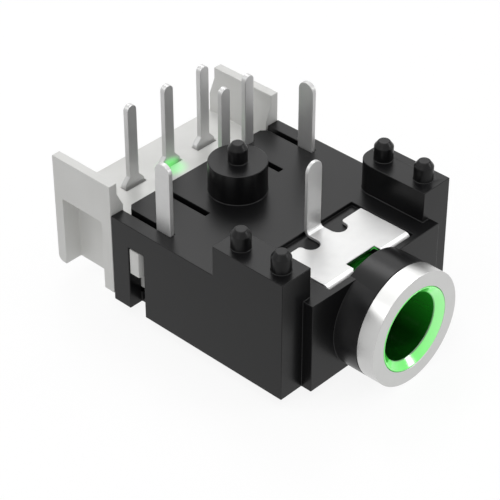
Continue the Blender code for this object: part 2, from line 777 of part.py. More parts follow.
def make_holder(root):
    bottom = HOLDER_BOTTOM
    foot = HALF_WIDTH - HOLDER_WALL_FOOT
    lip = HALF_WIDTH - HOLDER_WALL_TOP
    right = [
        (HALF_WIDTH, bottom),
        (HALF_WIDTH, BOARD_PLANE),
        (lip, BOARD_PLANE),
        (lip, HOLDER_STEP_TOP),
        (foot, HOLDER_STEP_FOOT),
        (foot, HOLDER_PLATE_TOP),
    ]
    section = right + mirrored(right)
    holder = prism("switch_holder", root, section, "Y", HOLDER_FRONT, HOLDER_BACK)

    inside = HALF_WIDTH - POCKET_DEPTH - HOLDER_SKIN
    floor = bottom + HOLDER_SKIN
    ceiling = HOLDER_PLATE_TOP - HOLDER_SKIN
    back = HOLDER_BACK - HOLDER_SKIN
    cavity = block(
        "holder_cavity_cut",
        root,
        (-inside, inside),
        (HOLDER_FRONT - OVER, back),
        (floor, ceiling),
    )
    cut(holder, cavity)
    bridge = block(
        "bridge",
        root,
        (-BRIDGE_WIDTH / 2, BRIDGE_WIDTH / 2),
        (BRIDGE_FROM, BRIDGE_FROM + BRIDGE_LENGTH),
        (floor - HOLDER_SKIN / 2, ceiling + HOLDER_SKIN / 2),
    )
    add(holder, bridge)
    guide = cylinder(
        "guide_cut",
        root,
        ACTUATOR_STEM + 2 * RUN,
        BRIDGE_FROM - OVER / 2,
        BRIDGE_FROM + BRIDGE_LENGTH + OVER / 2,
        "Y",
        (0, AXIS_HEIGHT),
    )
    rear_edge = arc(
        (HOLDER_BACK - HOLDER_CHAMFER, bottom + HOLDER_CHAMFER), HOLDER_CHAMFER, 270, 360, 8
    )
    rear_cut = prism(
        "rear_edge_cut",
        root,
        rear_edge + [(HOLDER_BACK + OVER, bottom + HOLDER_CHAMFER)]
        + [(HOLDER_BACK + OVER, bottom - OVER), (HOLDER_BACK - HOLDER_CHAMFER, bottom - OVER)],
        "X",
        -HALF_WIDTH - OVER,
        HALF_WIDTH + OVER,
    )
    cut(holder, guide, rear_cut)

    for side, word in ((-1, "left"), (1, "right")):
        pocket = [
            (side * (HALF_WIDTH + OVER), bottom - OVER),
            (side * (HALF_WIDTH + OVER), POCKET_TOP),
            (side * HALF_WIDTH, POCKET_TOP),
            (side * (HALF_WIDTH - POCKET_DEPTH), POCKET_TOP - POCKET_SLOPE),
            (side * (HALF_WIDTH - POCKET_DEPTH), bottom - OVER),
        ]
        pocket_from = HOLDER_FRONT + POCKET_FROM
        cut(
            holder,
            prism(f"pocket_{word}_cut", root, pocket, "Y", pocket_from, pocket_from + POCKET_LENGTH),
        )
        arm_outer = INSIDE - FIT
        arm = block(
            f"latch_arm_{word}",
            root,
            sorted((side * (arm_outer - LATCH_THICKNESS), side * arm_outer)),
            (WINDOW_FROM + FIT, HOLDER_FRONT + POCKET_FROM / 2),
            (LATCH_FOOT, WINDOW_HEIGHT - RUN),
        )
        reach = HALF_WIDTH - RUN
        catch = WINDOW_FROM + WINDOW_LENGTH - FIT
        barb = [
            (side * (arm_outer - LATCH_THICKNESS / 2), WINDOW_FROM + FIT + RUN),
            (side * arm_outer, WINDOW_FROM + FIT + RUN),
            (side * reach, catch - BARB_FLAT),
            (side * reach, catch),
            (side * (arm_outer - LATCH_THICKNESS / 2), catch),
        ]
        hook = prism(
            f"latch_barb_{word}", root, barb, "Z", BARB_FOOT, WINDOW_HEIGHT - 2 * RUN
        )
        add(holder, arm, hook)

    for at, word in ((-REAR_PIN_PITCH, "closed"), (0, "common"), (REAR_PIN_PITCH, "open")):
        half = PIN_FOOT_WIDTH / 2 + FIT
        way = block(
            f"{word}_pin_way_cut",
            root,
            (at - half, at + half),
            (REAR_PINS_AT - PIN_SHEET / 2 - FIT, REAR_PINS_AT + PIN_SHEET / 2 + FIT),
            (ceiling - OVER / 2, HOLDER_PLATE_TOP + OVER),
        )
        cut(holder, way)
    return holder


def make_switch_contacts(root):
    # Three flat terminals in the holder. The first and the last reach the common leaf with an arm
    front = REAR_PINS_AT - PIN_SHEET / 2
    rear = REAR_PINS_AT + PIN_SHEET / 2
    foot = PIN_FOOT_WIDTH / 2
    arm_low = ARM_LOW
    arm_top = ARM_LOW + ARM_HEIGHT
    reach = LEAF_WIDTH / 2 - RUN

    edge = footed_pin_edge(-REAR_PIN_PITCH, arm_low)
    outline = edge[:-1] + [(-REAR_PIN_PITCH + foot, arm_top), (reach, arm_top), (reach, arm_low)]
    closed = prism("switch_closed_contact", root, outline, "Y", front, rear)

    edge = footed_pin_edge(0, COMMON_TAB_LOW)
    common = prism("switch_common_terminal", root, edge, "Y", front, rear)

    arm_at = LEAF_AT + LEAF_SHEET / 2 + OPEN_GAP + PIN_SHEET / 2
    bend_at = REAR_PIN_PITCH + foot + PIN_SHEET
    path = rounded(
        [
            (REAR_PIN_PITCH - foot, REAR_PINS_AT),
            (bend_at, REAR_PINS_AT),
            (bend_at, arm_at),
            (-reach, arm_at),
        ],
        BEND_RADIUS + PIN_SHEET / 2,
    )
    opened = strip(
        "switch_open_contact", root, path, PIN_SHEET, "Z", arm_low, TERMINAL_TOP + OVER
    )
    edge = footed_pin_edge(REAR_PIN_PITCH, HOLDER_PLATE_TOP - HOLDER_SKIN - RUN)
    pin_cut = prism(
        "open_pin_cut",
        root,
        around(edge, -OVER, bend_at + OVER, TERMINAL_TOP + 2 * OVER),
        "Y",
        front - OVER,
        HOLDER_BACK,
    )
    arm_cut = block(
        "open_arm_cut",
        root,
        (-REAR_PIN_PITCH, bend_at + OVER),
        (rear + BEND_RADIUS, HOLDER_BACK),
        (arm_top, TERMINAL_TOP + 2 * OVER),
    )
    cut(opened, pin_cut, arm_cut)

    leaf = block(
        "switch_common_leaf",
        root,
        (-LEAF_WIDTH / 2, LEAF_WIDTH / 2),
        (LEAF_AT - LEAF_SHEET / 2, LEAF_AT + LEAF_SHEET / 2),
        (LEAF_LOW, LEAF_TOP),
    )
    return closed, common, opened, leaf


def make_actuator(root):
    # A pusher with a domed end, held in the bridge between its head and its collar
    head = ACTUATOR_HEAD_DIAMETER / 2
    stem = ACTUATOR_STEM / 2
    collar = stem + ACTUATOR_COLLAR
    front = PLUG_END - ACTUATOR_TRAVEL
    stop = BRIDGE_FROM + BRIDGE_LENGTH + RUN
    end = LEAF_AT - LEAF_SHEET / 2 - LEAF_GAP
    profile = [
        (head - HEAD_CHAMFER, front),
        (head, front + HEAD_CHAMFER),
        (head, front + ACTUATOR_HEAD_LENGTH),
        (stem, front + ACTUATOR_HEAD_LENGTH),
        (stem, stop),
        (collar, stop),
        (collar, stop + COLLAR_LENGTH / 3),
        (stem, stop + COLLAR_LENGTH),
    ]
    dome = arc((0, end - stem), stem, 0, 90, 8)
    profile += dome[:-1]
    return turned("switch_actuator", root, profile, "Y", (0, AXIS_HEIGHT), 32)


def main():
    clear_scene()
    root = make_root()
    black = make_material("black_plastic", (0.02, 0.02, 0.02), 0.5)
    white = make_material("natural_plastic", (0.8, 0.8, 0.78), 0.45)
    lime = make_material("lime_plastic", (0.12, 0.75, 0.15), 0.4)
    nickel = make_material("nickel_plate", (0.66, 0.64, 0.6), 0.25, 1.0)
    tin = make_material("tin_plate", (0.72, 0.72, 0.72), 0.35, 1.0)
    bronze = make_material("spring_bronze", (0.75, 0.5, 0.3), 0.35, 1.0)

    tail_tip = (TIP_TAIL_RISE, TIP_TAIL_LENGTH)
    tail_ring = (RING_TAIL_RISE, RING_TAIL_LENGTH)
    finished = [
        (make_housing(root), black),
        (make_ring(root), nickel),
        (make_insulator(root), lime),
        (make_sleeve_plate(root), tin),
        (make_spring("tip_spring", root, -1, TIP_SPRING_FROM, TIP_CONTACT_AT, tail_tip), tin),
        (make_spring("ring_spring", root, 1, RING_SPRING_FROM, RING_CONTACT_AT, tail_ring), tin),
        (make_tip_switch_contact(root), tin),
        (make_ring_switch_contact(root), tin),
        (make_holder(root), white),
        (make_actuator(root), lime),
    ]
    closed, common, opened, leaf = make_switch_contacts(root)
    finished += [(closed, tin), (common, tin), (opened, tin), (leaf, bronze)]
    for obj, material in finished:
        obj.data.materials.append(material)
    for obj in bpy.data.objects:
        if obj.type == "MESH":
            smooth(obj)


main()
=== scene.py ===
import math

import bpy
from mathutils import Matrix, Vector


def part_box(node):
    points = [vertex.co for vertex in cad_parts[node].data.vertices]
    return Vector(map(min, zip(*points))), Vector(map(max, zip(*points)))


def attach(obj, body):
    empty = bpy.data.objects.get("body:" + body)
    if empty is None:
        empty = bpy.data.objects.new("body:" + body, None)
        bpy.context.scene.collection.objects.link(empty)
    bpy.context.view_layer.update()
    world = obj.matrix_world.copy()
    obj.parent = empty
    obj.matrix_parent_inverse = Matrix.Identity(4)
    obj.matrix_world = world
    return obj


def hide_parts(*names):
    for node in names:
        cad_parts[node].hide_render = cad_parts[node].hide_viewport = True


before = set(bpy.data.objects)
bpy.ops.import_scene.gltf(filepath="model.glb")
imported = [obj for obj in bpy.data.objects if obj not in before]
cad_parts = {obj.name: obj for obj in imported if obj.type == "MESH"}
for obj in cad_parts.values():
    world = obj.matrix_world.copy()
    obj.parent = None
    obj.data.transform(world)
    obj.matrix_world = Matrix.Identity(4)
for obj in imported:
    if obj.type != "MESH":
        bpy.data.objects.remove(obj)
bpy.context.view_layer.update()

mm = 0.001
print("frame loaded:", len(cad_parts), "nodes")


# helpers

def linear(hexText):
    # sRGB hex to the linear colour that Blender wants
    parts = [int(hexText[i:i + 2], 16) / 255 for i in (1, 3, 5)]
    return tuple(c / 12.92 if c <= 0.04045 else ((c + 0.055) / 1.055) ** 2.4 for c in parts) + (1,)


def addNode(tree, kind, settings=None, links=None, values=None):
    # one node, its settings, what feeds its sockets and the values of its other sockets
    node = tree.nodes.new(kind)
    for key, setting in (settings or {}).items():
        setattr(node, key, setting)
    for key, source in (links or {}).items():
        tree.links.new(source, node.inputs[key])
    for key, value in (values or {}).items():
        node.inputs[key].default_value = value
    return node


def deselectAll():
    if bpy.context.mode != "OBJECT":
        bpy.ops.object.mode_set(mode="OBJECT")
    bpy.ops.object.select_all(action="DESELECT")


def pick(obj):
    deselectAll()
    obj.select_set(True)
    bpy.context.view_layer.objects.active = obj


# places on the part are given in a drawing's millimetres: x across, y back from the body's front
# face, z up from its flat face. The ring reaches out in front, and the bore's axis lies above
drawing = {"ringReach": 3.0, "axisAboveFlat": 2.44}

ringLow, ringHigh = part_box("front_ring")
mouthY = ringLow.y
bodyFront = mouthY + drawing["ringReach"] * mm
axisHeight = (ringLow.z + ringHigh.z) / 2


def toWorld(point):
    # a point of the drawing in the model's metres
    x, y, z = point
    return (x * mm, y * mm + bodyFront, z * mm + axisHeight - drawing["axisAboveFlat"] * mm)


def newMaterial(name):
    material = bpy.data.materials.new(name)
    material.use_nodes = True
    tree = material.node_tree
    tree.nodes.clear()
    place = addNode(tree, "ShaderNodeTexCoord").outputs["Object"]
    return material, tree, place


def spotMask(tree, place, spot):
    # 1 in the middle of an egg-shaped spot, falling to 0 at its reach; soft is the share that fades
    reach = [v * mm for v in spot["reach"]]
    offset = addNode(tree, "ShaderNodeVectorMath", {"operation": "SUBTRACT"},
                     {0: place}, {1: toWorld(spot["at"])})
    scaled = addNode(tree, "ShaderNodeVectorMath", {"operation": "DIVIDE"},
                     {0: offset.outputs["Vector"]}, {1: reach})
    far = addNode(tree, "ShaderNodeVectorMath", {"operation": "LENGTH"}, {0: scaled.outputs["Vector"]})
    mask = addNode(tree, "ShaderNodeMapRange", {"interpolation_type": "SMOOTHSTEP"},
                   {"Value": far.outputs["Value"]}, {"From Min": 1.0, "From Max": 1.0 - spot["soft"]})
    return mask.outputs["Result"]


def boxMask(tree, place, box):
    # 1 inside a box round its middle and 0 outside it
    offset = addNode(tree, "ShaderNodeVectorMath", {"operation": "SUBTRACT"},
                     {0: place}, {1: toWorld(box["at"])})
    size = addNode(tree, "ShaderNodeVectorMath", {"operation": "ABSOLUTE"}, {0: offset.outputs["Vector"]})
    split = addNode(tree, "ShaderNodeSeparateXYZ", links={"Vector": size.outputs["Vector"]})
    sides = []
    for axis, half in zip("XYZ", box["reach"]):
        side = addNode(tree, "ShaderNodeMath", {"operation": "LESS_THAN"},
                       {0: split.outputs[axis]}, {1: half * mm})
        sides.append(side.outputs["Value"])
    mask = sides[0]
    for side in sides[1:]:
        both = addNode(tree, "ShaderNodeMath", {"operation": "MULTIPLY"}, {0: mask, 1: side})
        mask = both.outputs["Value"]
    return mask


# materials

blackNylon = {
    "low": "#0d0d0e",
    "high": "#111112",
    "flow": 2.5 * mm,  # between the lighter and darker parts
    "flowDetail": 2.0,
    "grain": 0.08 * mm,  # the mould's grain is finer, and is drawn this coarse so that it shows
    "grainDetail": 3.0,
    "roughness": (0.26, 0.33),
    "bump": 0.03,
    "bumpHeight": 0.01 * mm,
    "ior": 1.295,  # under nylon's usual 1.53, because its grained faces mirror less
}


def mouldedSurface(tree, place, plastic):
    # a slow drift of colour where the melt flowed, and the mould's fine grain in gloss and bump
    flow = addNode(tree, "ShaderNodeTexNoise", links={"Vector": place},
                   values={"Scale": 1 / plastic["flow"], "Detail": plastic["flowDetail"]})
    grain = addNode(tree, "ShaderNodeTexNoise", links={"Vector": place},
                    values={"Scale": 1 / plastic["grain"], "Detail": plastic["grainDetail"]})
    tint = addNode(tree, "ShaderNodeMix", {"data_type": "RGBA"}, {"Factor": flow.outputs["Fac"]},
                   {"A": linear(plastic["low"]), "B": linear(plastic["high"])})
    gloss = addNode(tree, "ShaderNodeMapRange", links={"Value": grain.outputs["Fac"]},
                    values={"To Min": plastic["roughness"][0], "To Max": plastic["roughness"][1]})
    bump = addNode(tree, "ShaderNodeBump", links={"Height": grain.outputs["Fac"]},
                   values={"Strength": plastic["bump"], "Distance": plastic["bumpHeight"]})
    return tint.outputs["Result"], gloss.outputs["Result"], bump.outputs["Normal"]


def mouldedBlackNylon():
    # glass-filled nylon, injection moulded: near black, satin, fine spark-eroded grain
    material, tree, place = newMaterial("mouldedBlackNylon")
    colour, gloss, normal = mouldedSurface(tree, place, blackNylon)
    shader = addNode(tree, "ShaderNodeBsdfPrincipled", values={"IOR": blackNylon["ior"]},
                     links={"Base Color": colour, "Roughness": gloss, "Normal": normal})
    addNode(tree, "ShaderNodeOutputMaterial", links={"Surface": shader.outputs["BSDF"]})
    return material


naturalNylon = {
    "low": "#d6d6d3",
    "high": "#e2e2e0",
    "flow": 2.0 * mm,
    "flowDetail": 2.0,
    "grain": 0.07 * mm,
    "grainDetail": 2.0,
    "roughness": (0.34, 0.48),
    "bump": 0.04,
    "bumpHeight": 0.01 * mm,
    "ior": 1.53,
    # painted light: a pale green patch with a painted glow on the plate's top, for the lime pusher's light
    "paintedLimePatch": {
        "colour": "#b4f5b8",
        "at": (-0.15, 12.85, 4.25),
        "reach": (1.05, 1.0, 0.3),
        "soft": 0.85,
        "glow": "#8aff90",
        "glowStrength": 0.22,
    },
}


def mouldedNaturalNylon():
    # unfilled nylon, injection moulded in its natural colour: milky white. Between the middle terminal and
    # the body its thin top is painted pale green with a painted glow, in place of light from the lime pusher
    # below
    material, tree, place = newMaterial("mouldedNaturalNylon")
    colour, gloss, normal = mouldedSurface(tree, place, naturalNylon)
    lime = naturalNylon["paintedLimePatch"]
    # painted light: pale green and a glow painted on in a spot above the lime pusher
    mask = spotMask(tree, place, lime)
    tint = addNode(tree, "ShaderNodeMix", {"data_type": "RGBA"}, {"Factor": mask, "A": colour},
                   {"B": linear(lime["colour"])})
    glow = addNode(tree, "ShaderNodeMath", {"operation": "MULTIPLY"}, {0: mask}, {1: lime["glowStrength"]})
    shader = addNode(tree, "ShaderNodeBsdfPrincipled",
                     links={"Base Color": tint.outputs["Result"], "Roughness": gloss, "Normal": normal,
                            "Emission Strength": glow.outputs["Value"]},
                     values={"IOR": naturalNylon["ior"], "Emission Color": linear(lime["glow"])})
    addNode(tree, "ShaderNodeOutputMaterial", links={"Surface": shader.outputs["BSDF"]})
    return material


limePolymer = {
    # on the pusher the green is painted a little lighter higher up, a painted shade and light
    "body": ("#35d83b", "#4df052"),  # low and high on the pusher
    # painted shade and light inside the bore: near black low and far in, lighter green high near the mouth
    "paintedBoreShading": ("#043207", "#0f9a18"),  # low and high inside the bore
    # the rim is partly the lime's own green, painted paler as a painted highlight, palest to the right
    "rim": ("#5cee5a", "#c0ffbc"),  # from the bore's middle plane to the right of the mouth
    "across": 2.4 * mm,
    # heights of the painted shade and light: darkest at the first, lightest at the second
    "height": (1.6 * mm, 4.4 * mm),  # above the model's base, between low and high
    "rimFrom": -2.66 * mm,  # the rim's colour sets in here and is full at rimTo
    "rimTo": -2.72 * mm,
    # painted light: fully painted on near the mouth, and only hiddenShare of it from hiddenFrom back
    "openTo": -0.6 * mm,  # light from the mouth reaches here, and little of it gets to hiddenFrom
    "hiddenFrom": -0.3 * mm,
    "hiddenShare": 0.2,
    # painted glow: the lime is no lamp, yet its rim and, faintly, its inside are given this glow
    "glow": "#5cff58",
    "paintedRimGlow": 0.36,
    "paintedDeepGlow": (0.003, 0.075),  # low and high behind the rim
    "flow": 0.8 * mm,
    "flowDetail": 2.0,
    "roughness": (0.12, 0.18),
    "ior": 1.6,
    "coat": 1.0,  # the polished skin
    "coatRoughness": 0.1,
    "coatIor": 1.7,
}


def mouldedLimePolymer(name, insideColour):
    # fluorescent lime plastic, moulded and polished. Its rim is painted pale with a painted glow, more so
    # on the open side, and inside the bore it is painted a dark green, a painted shade
    lime = limePolymer
    material, tree, place = newMaterial(name)
    split = addNode(tree, "ShaderNodeSeparateXYZ", links={"Vector": place})
    rim = addNode(tree, "ShaderNodeMapRange", links={"Value": split.outputs["Y"]},
                  values={"From Min": lime["rimFrom"] + bodyFront, "From Max": lime["rimTo"] + bodyFront})
    across = addNode(tree, "ShaderNodeMapRange", links={"Value": split.outputs["X"]},
                     values={"From Min": 0.0, "From Max": lime["across"]})
    height = addNode(tree, "ShaderNodeMapRange", links={"Value": split.outputs["Z"]},
                     values={"From Min": lime["height"][0], "From Max": lime["height"][1]})
    depth = addNode(tree, "ShaderNodeMapRange", links={"Value": split.outputs["Y"]},
                    values={"From Min": lime["hiddenFrom"] + bodyFront,
                            "From Max": lime["openTo"] + bodyFront, "To Min": lime["hiddenShare"]})
    # painted light: the share painted on grows with height and towards the mouth; less of it is painted shade
    lit = addNode(tree, "ShaderNodeMath", {"operation": "MULTIPLY"},
                  {0: height.outputs["Result"], 1: depth.outputs["Result"]}).outputs["Value"]
    inside = addNode(tree, "ShaderNodeMix", {"data_type": "RGBA"}, {"Factor": lit},
                     {"A": linear(insideColour[0]), "B": linear(insideColour[1])})
    # painted highlight: the rim's colour is painted paler from the bore's middle towards the right
    edge = addNode(tree, "ShaderNodeMix", {"data_type": "RGBA"}, {"Factor": across.outputs["Result"]},
                   {"A": linear(lime["rim"][0]), "B": linear(lime["rim"][1])})
    tint = addNode(tree, "ShaderNodeMix", {"data_type": "RGBA"},
                   {"Factor": rim.outputs["Result"], "A": inside.outputs["Result"],
                    "B": edge.outputs["Result"]})
    # painted glow: faint inside, following the painted light, and strongest on the rim
    paintedInsideGlow = addNode(tree, "ShaderNodeMapRange", links={"Value": lit},
                         values={"To Min": lime["paintedDeepGlow"][0], "To Max": lime["paintedDeepGlow"][1]})
    glow = addNode(tree, "ShaderNodeMapRange", values={"To Max": lime["paintedRimGlow"]},
                   links={"Value": rim.outputs["Result"], "To Min": paintedInsideGlow.outputs["Result"]})
    flow = addNode(tree, "ShaderNodeTexNoise", links={"Vector": place},
                   values={"Scale": 1 / lime["flow"], "Detail": lime["flowDetail"]})
    gloss = addNode(tree, "ShaderNodeMapRange", links={"Value": flow.outputs["Fac"]},
                    values={"To Min": lime["roughness"][0], "To Max": lime["roughness"][1]})
    shader = addNode(tree, "ShaderNodeBsdfPrincipled",
                     links={"Base Color": tint.outputs["Result"], "Roughness": gloss.outputs["Result"],
                            "Emission Strength": glow.outputs["Result"]},
                     values={"Emission Color": linear(lime["glow"]), "IOR": lime["ior"],
                             "Coat Weight": lime["coat"], "Coat Roughness": lime["coatRoughness"],
                             "Coat IOR": lime["coatIor"]})
    addNode(tree, "ShaderNodeOutputMaterial", links={"Surface": shader.outputs["BSDF"]})
    return material


nickelPlate = {
    "low": "#c2c2c1",
    "high": "#c8c8c7",
    "cloud": 0.7 * mm,
    "cloudDetail": 2.0,
    "ring": 0.04 * mm,  # the tool's feed; real rings are finer, and these show
    "ringDetail": 3.0,
    "roughness": (0.26, 0.34),
    "bump": 0.03,
    "bumpHeight": 0.004 * mm,
}


def turnedNickelPlate():
    # brass turned on a lathe, then nickel plated: fine rings round the bore, satin sheen
    material, tree, place = newMaterial("turnedNickelPlate")
    centred = addNode(tree, "ShaderNodeMapping", links={"Vector": place},
                      values={"Location": (0, 0, -axisHeight)})
    split = addNode(tree, "ShaderNodeSeparateXYZ", links={"Vector": centred.outputs["Vector"]})
    flat = addNode(tree, "ShaderNodeCombineXYZ", links={"X": split.outputs["X"], "Y": split.outputs["Z"]})
    radius = addNode(tree, "ShaderNodeVectorMath", {"operation": "LENGTH"}, {0: flat.outputs["Vector"]})
    spiral = addNode(tree, "ShaderNodeMath", {"operation": "ADD"},
                     {0: radius.outputs["Value"], 1: split.outputs["Y"]})
    line = addNode(tree, "ShaderNodeCombineXYZ", links={"X": spiral.outputs["Value"]})
    rings = addNode(tree, "ShaderNodeTexNoise", links={"Vector": line.outputs["Vector"]},
                    values={"Scale": 1 / nickelPlate["ring"], "Detail": nickelPlate["ringDetail"]})
    cloud = addNode(tree, "ShaderNodeTexNoise", links={"Vector": place},
                    values={"Scale": 1 / nickelPlate["cloud"], "Detail": nickelPlate["cloudDetail"]})
    tint = addNode(tree, "ShaderNodeMix", {"data_type": "RGBA"}, {"Factor": cloud.outputs["Fac"]},
                   {"A": linear(nickelPlate["low"]), "B": linear(nickelPlate["high"])})
    gloss = addNode(tree, "ShaderNodeMapRange", links={"Value": rings.outputs["Fac"]},
                    values={"To Min": nickelPlate["roughness"][0], "To Max": nickelPlate["roughness"][1]})
    bump = addNode(tree, "ShaderNodeBump", links={"Height": rings.outputs["Fac"]},
                   values={"Strength": nickelPlate["bump"], "Distance": nickelPlate["bumpHeight"]})
    shader = addNode(tree, "ShaderNodeBsdfPrincipled", values={"Metallic": 1.0},
                     links={"Base Color": tint.outputs["Result"], "Roughness": gloss.outputs["Result"],
                            "Normal": bump.outputs["Normal"]})
    addNode(tree, "ShaderNodeOutputMaterial", links={"Surface": shader.outputs["BSDF"]})
    return material


tinPlate = {
    "low": "#cacaca",
    "high": "#d4d4d3",
    "cloud": 0.5 * mm,
    "cloudDetail": 3.0,
    "streak": 0.05 * mm,  # rolling lines, drawn out along the blades
    "streakDetail": 2.0,
    "streakAlong": (1, 1, 0.06),
    "metallic": 0.42,
    "roughness": (0.32, 0.4),
    "bump": 0.04,
    "bumpHeight": 0.003 * mm,
    # painted highlights: white painted along the outside of the folds
    "foldHighlightColour": "#ffffff",
    "foldHighlightBoxes": [
        {"at": (0, 0.03, 4.97), "reach": (3.3, 0.1, 0.09)},
        {"at": (0, 3.27, 5.03), "reach": (0.9, 0.07, 0.06)},
    ],
    # painted reflection: dark green painted on the sheet's cut edge in the notch
    "paintedNotchGreen": {"colour": "#1a5c22", "at": (0, 0.1, 4.7), "reach": (1.09, 0.45, 0.26)},
    # painted glow: the tin is no lamp; these spots are painted green and given this glow
    "paintedSpotGlowColour": "#6cff70",
    "paintedLimeGlowSpots": [  # the notch's right end, then the middle terminal's foot
        {"colour": "#3fae46", "at": (0.96, 0.45, 4.76), "reach": (0.34, 0.3, 0.2), "soft": 0.4, "glow": 0.3},
        {"colour": "#d2fbd4", "at": (-0.1, 13.0, 4.2), "reach": (0.95, 0.34, 0.6), "soft": 0.6, "glow": 0.24},
    ],
}


def stampedTinPlate():
    # bronze strip, stamped, folded and matt tin plated: the fine crystals of the tin scatter most
    # of the light, so it is an even bright grey, faintly clouded, with soft reflections
    material, tree, place = newMaterial("stampedTinPlate")
    cloud = addNode(tree, "ShaderNodeTexNoise", links={"Vector": place},
                    values={"Scale": 1 / tinPlate["cloud"], "Detail": tinPlate["cloudDetail"]})
    rolled = addNode(tree, "ShaderNodeMapping", links={"Vector": place},
                     values={"Scale": tinPlate["streakAlong"]})
    streak = addNode(tree, "ShaderNodeTexNoise", links={"Vector": rolled.outputs["Vector"]},
                     values={"Scale": 1 / tinPlate["streak"], "Detail": tinPlate["streakDetail"]})
    tint = addNode(tree, "ShaderNodeMix", {"data_type": "RGBA"}, {"Factor": cloud.outputs["Fac"]},
                   {"A": linear(tinPlate["low"]), "B": linear(tinPlate["high"])})
    gloss = addNode(tree, "ShaderNodeMapRange", links={"Value": streak.outputs["Fac"]},
                    values={"To Min": tinPlate["roughness"][0], "To Max": tinPlate["roughness"][1]})
    bump = addNode(tree, "ShaderNodeBump", links={"Height": streak.outputs["Fac"]},
                   values={"Strength": tinPlate["bump"], "Distance": tinPlate["bumpHeight"]})
    # painted highlight: the outside of each fold is painted white
    marks = [(boxMask(tree, place, fold), tinPlate["foldHighlightColour"]) for fold in tinPlate["foldHighlightBoxes"]]
    # painted light from the lime plastic beside it: green is painted on the sheet's cut edge in the
    # notch and on the middle foot, with a painted glow at the notch's end and on the foot
    notch = tinPlate["paintedNotchGreen"]
    marks.append((boxMask(tree, place, notch), notch["colour"]))
    # painted light: green spots with a painted glow
    paintedGlows = []
    for spot in tinPlate["paintedLimeGlowSpots"]:
        mask = spotMask(tree, place, spot)
        marks.append((mask, spot["colour"]))
        glow = addNode(tree, "ShaderNodeMath", {"operation": "MULTIPLY"}, {0: mask}, {1: spot["glow"]})
        paintedGlows.append(glow.outputs["Value"])
    glow = addNode(tree, "ShaderNodeMath", {"operation": "ADD"}, {0: paintedGlows[0], 1: paintedGlows[1]})
    colour = tint.outputs["Result"]
    for mask, hexText in marks:
        marked = addNode(tree, "ShaderNodeMix", {"data_type": "RGBA"}, {"Factor": mask, "A": colour},
                         {"B": linear(hexText)})
        colour = marked.outputs["Result"]
    shader = addNode(tree, "ShaderNodeBsdfPrincipled",
                     links={"Base Color": colour, "Roughness": gloss.outputs["Result"],
                            "Normal": bump.outputs["Normal"], "Emission Strength": glow.outputs["Value"]},
                     values={"Metallic": tinPlate["metallic"],
                             "Emission Color": linear(tinPlate["paintedSpotGlowColour"])})
    addNode(tree, "ShaderNodeOutputMaterial", links={"Surface": shader.outputs["BSDF"]})
    return material


springStrip = {
    "low": "#b98552",
    "high": "#cb9a64",
    "grain": 0.05 * mm,
    "grainDetail": 2.0,
    "grainAlong": (1, 1, 0.05),
    "roughness": 0.3,
}


def rolledBronzeStrip():
    # phosphor bronze strip, cold rolled: warm and satin with fine lines along its length
    material, tree, place = newMaterial("rolledBronzeStrip")
    rolled = addNode(tree, "ShaderNodeMapping", links={"Vector": place},
                     values={"Scale": springStrip["grainAlong"]})
    streak = addNode(tree, "ShaderNodeTexNoise", links={"Vector": rolled.outputs["Vector"]},
                     values={"Scale": 1 / springStrip["grain"], "Detail": springStrip["grainDetail"]})
    tint = addNode(tree, "ShaderNodeMix", {"data_type": "RGBA"}, {"Factor": streak.outputs["Fac"]},
                   {"A": linear(springStrip["low"]), "B": linear(springStrip["high"])})
    shader = addNode(tree, "ShaderNodeBsdfPrincipled", links={"Base Color": tint.outputs["Result"]},
                     values={"Metallic": 1.0, "Roughness": springStrip["roughness"]})
    addNode(tree, "ShaderNodeOutputMaterial", links={"Surface": shader.outputs["BSDF"]})
    return material


nylonBlack = mouldedBlackNylon()
nylonNatural = mouldedNaturalNylon()
limeLiner = mouldedLimePolymer("mouldedLimeLiner", limePolymer["paintedBoreShading"])
limePusher = mouldedLimePolymer("mouldedLimePusher", limePolymer["body"])
nickel = turnedNickelPlate()
tin = stampedTinPlate()
bronze = rolledBronzeStrip()
print("materials made")


# pieces: each CAD node gets a copy whose edges are rounded as the mould or the press leaves them

pieces = {
    "housing": {"material": nylonBlack, "edge": 0.03, "slot": "housing", "body": "socket"},
    "switch_holder": {"material": nylonNatural, "edge": 0.03, "slot": "switch_holder", "body": "socket"},
    "bore_insulator": {"material": limeLiner, "edge": 0.02, "slot": "bore_insulator", "body": "socket"},
    "front_ring": {"material": nickel, "edge": 0.02, "slot": "front_ring", "body": "socket", "sharpest": 50},
}
sheetEdges = {
    "sleeve_plate": 0.025,
    "tip_spring": 0.03,
    "ring_spring": 0.03,
    "tip_switch_contact": 0.03,
    "ring_switch_contact": 0.03,
    "switch_closed_contact": 0.018,
    "switch_common_terminal": 0.018,
    "switch_open_contact": 0.018,
}
for node, edge in sheetEdges.items():
    pieces[node] = {"material": tin, "edge": edge, "slot": "sheet_contacts", "body": "socket"}
pieces["switch_common_leaf"] = {
    "material": bronze, "edge": 0.015, "slot": "common_leaf", "body": "leaf", "segments": 1}
pieces["switch_actuator"] = {
    "material": limePusher, "edge": 0.03, "slot": "switch_actuator", "body": "plunger"}

ringEdge = {"chamfer": 0.1 * mm, "break": 0.015 * mm}


def sharpenRing(mesh):
    # the turned ring's front edge is nearly sharp: its chamfer is drawn in to a fine break
    outer = (ringHigh.x - ringLow.x) / 2
    for vertex in mesh.vertices:
        across, up = vertex.co.x, vertex.co.z - axisHeight
        radius = math.hypot(across, up)
        atEdge = radius > outer - ringEdge["chamfer"] and vertex.co.y < mouthY + ringEdge["chamfer"]
        if atEdge:
            if vertex.co.y > mouthY + ringEdge["break"]:
                vertex.co.y = mouthY + ringEdge["break"]
            else:
                grow = (outer - ringEdge["break"]) / radius
                vertex.co.x, vertex.co.z = across * grow, axisHeight + up * grow


